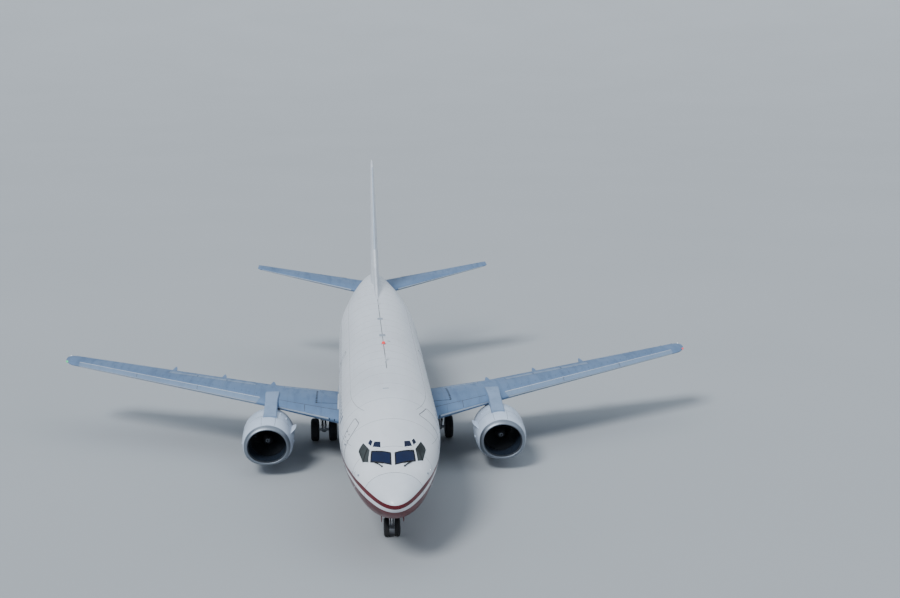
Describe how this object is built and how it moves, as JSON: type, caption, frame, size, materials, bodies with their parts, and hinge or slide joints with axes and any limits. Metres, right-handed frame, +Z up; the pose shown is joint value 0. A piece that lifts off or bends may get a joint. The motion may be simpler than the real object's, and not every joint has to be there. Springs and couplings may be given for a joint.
{
  "type": "twin-engine narrow-body airliner",
  "caption": "Low-wing jet airliner parked on its gear, with turning wheels and fans, a steered nose gear, hinged flight controls and inward-opening cargo doors.",
  "frame": {"origin": "on the ground, in the middle of the overall length and span", "axes": "+Z up, -Y towards the nose, +X towards the aircraft's left wing tip"},
  "size_m": [28.88, 33.4, 11.13],
  "materials": {
    "white_paint": "gloss white paint",
    "radome_paint": "satin paint over a composite dome",
    "red_paint": "gloss dark red paint",
    "grey_paint": "satin light grey paint",
    "bare_metal": "polished bare metal",
    "hot_metal": "heat-stained metal",
    "engine_dark": "dark engine casing",
    "gear_steel": "grey enamel on gear legs",
    "tyre": "matt rubber",
    "cockpit_glass": "dark glazing"
  },
  "bodies": {
    "airframe": {"radome": "radome_paint", "fuselage_nose": "white_paint", "fuselage_forward": "white_paint", "fuselage_center": "white_paint", "fuselage_aft": "white_paint", "fuselage_tail": "white_paint", "tail_cone": "white_paint", "cockpit_glass": "cockpit_glass", "belly_fairing": "grey_paint", "wing_left": "grey_paint", "wing_right": "grey_paint", "slats_left": "grey_paint", "slats_right": "grey_paint", "flap_inboard_left": "grey_paint", "flap_inboard_right": "grey_paint", "flap_outboard_left": "grey_paint", "flap_outboard_right": "grey_paint", "stabilizer_left": "grey_paint", "stabilizer_right": "grey_paint", "fin": "white_paint", "inlet_lip_left": "bare_metal", "inlet_lip_right": "bare_metal", "fan_cowl_left": "white_paint", "fan_cowl_right": "white_paint", "reverser_cowl_left": "white_paint", "reverser_cowl_right": "white_paint", "engine_core_left": "engine_dark", "engine_core_right": "engine_dark", "exhaust_nozzle_left": "hot_metal", "exhaust_nozzle_right": "hot_metal", "pylon_left": "white_paint", "pylon_right": "white_paint", "main_gear_leg_left": "gear_steel", "main_gear_leg_right": "gear_steel", "main_gear_door_left": "white_paint", "main_gear_door_right": "white_paint", "nose_gear_strut": "gear_steel", "nose_gear_door_left": "white_paint", "nose_gear_door_right": "white_paint"},
    "nose_steering": {"nose_gear_steering": "gear_steel"},
    "nose_wheels": {"nose_gear_wheels": "tyre"},
    "main_wheels_left": {"main_gear_wheels_left": "tyre"},
    "main_wheels_right": {"main_gear_wheels_right": "tyre"},
    "fan_rotor_left": {"fan_left": "hot_metal"},
    "fan_rotor_right": {"fan_right": "hot_metal"},
    "aileron_left": {"aileron_left": "grey_paint"},
    "aileron_right": {"aileron_right": "grey_paint"},
    "elevator_left": {"elevator_left": "grey_paint"},
    "elevator_right": {"elevator_right": "grey_paint"},
    "rudder": {"rudder": "white_paint"},
    "cargo_door_forward": {"cargo_door_forward": "red_paint"},
    "cargo_door_aft": {"cargo_door_aft": "red_paint"}
  },
  "joints": [
    {"name": "nose_steering_turn", "type": "hinge", "parent": "airframe", "child": "nose_steering", "pos_m": [0, -12.71, 0.93], "axis": [0, 0, 1], "range_deg": [-78, 78]},
    {"name": "nose_wheels_roll", "type": "hinge", "parent": "nose_steering", "child": "nose_wheels", "pos_m": [0, -12.71, 0.343], "axis": [1, 0, 0], "continuous": true},
    {"name": "main_wheels_left_roll", "type": "hinge", "parent": "airframe", "child": "main_wheels_left", "pos_m": [2.615, -0.25, 0.508], "axis": [1, 0, 0], "continuous": true},
    {"name": "main_wheels_right_roll", "type": "hinge", "parent": "airframe", "child": "main_wheels_right", "pos_m": [-2.615, -0.25, 0.508], "axis": [1, 0, 0], "continuous": true},
    {"name": "fan_left_spin", "type": "hinge", "parent": "airframe", "child": "fan_rotor_left", "pos_m": [4.875, -4.62, 1.435], "axis": [0, 1, 0], "continuous": true},
    {"name": "fan_right_spin", "type": "hinge", "parent": "airframe", "child": "fan_rotor_right", "pos_m": [-4.875, -4.62, 1.435], "axis": [0, 1, 0], "continuous": true},
    {"name": "aileron_left_hinge", "type": "hinge", "parent": "airframe", "child": "aileron_left", "pos_m": [10.48, 1.82046, 2.94469], "axis": [0.9431, 0.3194, 0.0921], "range_deg": [-20, 20]},
    {"name": "aileron_right_hinge", "type": "hinge", "parent": "airframe", "child": "aileron_right", "pos_m": [-10.48, 1.82046, 2.94469], "axis": [0.9431, -0.3194, -0.0921], "range_deg": [-20, 20]},
    {"name": "elevator_left_hinge", "type": "hinge", "parent": "airframe", "child": "elevator_left", "pos_m": [1.25, 14.24533, 4.63451], "axis": [0.9204, 0.3745, 0.1125], "range_deg": [-21, 21]},
    {"name": "elevator_right_hinge", "type": "hinge", "parent": "airframe", "child": "elevator_right", "pos_m": [-1.25, 14.24533, 4.63451], "axis": [0.9204, -0.3745, -0.1125], "range_deg": [-21, 21]},
    {"name": "rudder_hinge", "type": "hinge", "parent": "airframe", "child": "rudder", "pos_m": [0, 13.47574, 5.7], "axis": [0, 0.3837, 0.9234], "range_deg": [-26, 26]},
    {"name": "cargo_door_forward_hinge", "type": "hinge", "parent": "airframe", "child": "cargo_door_forward", "pos_m": [-1.56, -8.49, 2.44], "axis": [0, -1, 0], "range_deg": [0, 60]},
    {"name": "cargo_door_aft_hinge", "type": "hinge", "parent": "airframe", "child": "cargo_door_aft", "pos_m": [-1.56, 3.21, 2.44], "axis": [0, -1, 0], "range_deg": [0, 60]}
  ],
  "couplings": [
    {"joint": "aileron_right_hinge", "follows": "aileron_left_hinge", "ratio": -1},
    {"joint": "elevator_right_hinge", "follows": "elevator_left_hinge", "ratio": 1}
  ]
}
